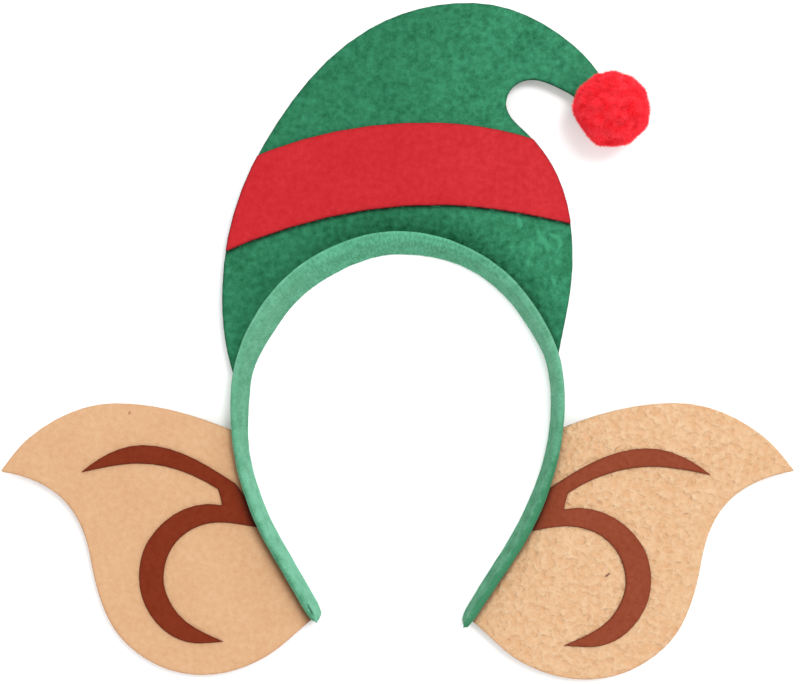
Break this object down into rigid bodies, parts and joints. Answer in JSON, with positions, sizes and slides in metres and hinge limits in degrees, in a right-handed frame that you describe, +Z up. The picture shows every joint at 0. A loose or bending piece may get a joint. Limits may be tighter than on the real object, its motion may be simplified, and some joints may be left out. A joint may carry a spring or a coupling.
{
  "type": "elf ear headband",
  "caption": "Costume headband: a fabric-covered hoop that carries a flat felt hat with a stripe, a curled tip and a pompom, and a felt ear with brown trim on each side.",
  "frame": {"origin": "middle of the footprint, on the surface that the headband lies on", "axes": "+X to the right ear, +Y to the top of the hat, +Z up from the surface, through the hoop from its back edge to its front rim"},
  "size_m": [0.3178, 0.272, 0.0341],
  "materials": {
    "knit_green": "fine ribbed knit sleeve, matt light green, drawn tight over a strip",
    "felt_green": "matt green craft felt, mottled and lightly wrinkled, with a cut edge",
    "felt_red": "matt red craft felt, smooth and lightly mottled",
    "fluff_red": "dense soft red pompom fibre",
    "felt_beige": "matt warm beige craft felt with an embossed, wrinkled surface",
    "felt_brown": "thin matt red-brown felt trim, glued on"
  },
  "bodies": {
    "root": {"band": "knit_green", "hat": "felt_green", "hat_stripe": "felt_red", "pompom": "fluff_red", "ear_left": "felt_beige", "ear_right": "felt_beige", "ear_fold_left": "felt_brown", "ear_fold_right": "felt_brown"}
  },
  "joints": []
}
